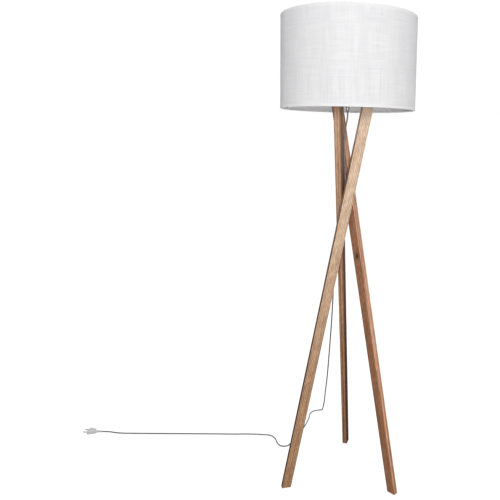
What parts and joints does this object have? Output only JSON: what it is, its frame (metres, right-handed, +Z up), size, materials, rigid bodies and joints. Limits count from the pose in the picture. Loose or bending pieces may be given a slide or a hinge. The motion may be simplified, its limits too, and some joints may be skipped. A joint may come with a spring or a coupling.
{
  "type": "tripod floor lamp",
  "caption": "Floor lamp with crossed wooden slat legs under a fabric drum shade on a spoked ring, with a turn switch on the holder and a two-pin mains lead.",
  "frame": {"origin": "on the floor, under the axis of the lamp holder and shade", "axes": "+Z up along the lamp's axis; +X to the right and -Y towards the viewer when the lead runs off to the left"},
  "size_m": [1.284, 0.6885, 1.6],
  "materials": {
    "wood": "matte oiled solid wood",
    "dowel_wood": "plain",
    "zinc_steel": "zinc plated, satin",
    "white_paint": "white powder coat",
    "white_plastic": "smooth",
    "ceramic": "unglazed",
    "brass": "nickel bright",
    "shade_fabric": "slubby linen-look weave",
    "shade_liner": "smooth white film",
    "bulb_glass": "opal, frosted",
    "bulb_cap": "bright",
    "clear_pvc": "clear, slightly grey",
    "plug_plastic": "moulded",
    "pin_metal": "nickel plated"
  },
  "bodies": {
    "stand": {"leg_left": "wood", "leg_right": "wood", "leg_rear": "wood", "crossing_dowels": "dowel_wood", "head_plate": "zinc_steel", "plate_screws": "zinc_steel", "nipple": "zinc_steel", "nipple_nuts": "zinc_steel", "cord_grip": "zinc_steel", "grip_screw": "zinc_steel", "holder_cap": "white_plastic", "holder_shell": "white_plastic", "holder_insert": "ceramic", "socket_thread": "brass", "socket_contact": "brass", "terminal_screws": "brass", "switch_body": "zinc_steel", "inner_lead": "clear_pvc", "cord": "clear_pvc", "plug_body": "plug_plastic", "plug_pins": "pin_metal"},
    "shade": {"shade_frame": "white_paint", "top_ring": "white_paint", "shade_liner": "shade_liner", "shade_fabric": "shade_fabric", "hem_top": "shade_fabric", "hem_bottom": "shade_fabric"},
    "shade_ring": {"shade_nut": "white_plastic"},
    "bulb": {"bulb_cap": "bulb_cap", "bulb_tip": "brass", "bulb_glass": "bulb_glass"},
    "switch": {"switch_knob": "white_plastic"}
  },
  "joints": [
    {"name": "shade_turn", "type": "hinge", "parent": "stand", "child": "shade", "pos_m": [0, 0, 1.3735], "axis": [0, 0, 1], "continuous": true},
    {"name": "shade_ring_screw", "type": "hinge", "parent": "stand", "child": "shade_ring", "pos_m": [0, 0, 1.3775], "axis": [0, 0, 1], "continuous": true},
    {"name": "bulb_screw", "type": "hinge", "parent": "stand", "child": "bulb", "pos_m": [0, 0, 1.38], "axis": [0, 0, 1], "continuous": true},
    {"name": "switch_turn", "type": "hinge", "parent": "stand", "child": "switch", "pos_m": [0, 0, 1.341], "axis": [-0.7071, -0.7071, 0], "range_deg": [0, 90]}
  ]
}
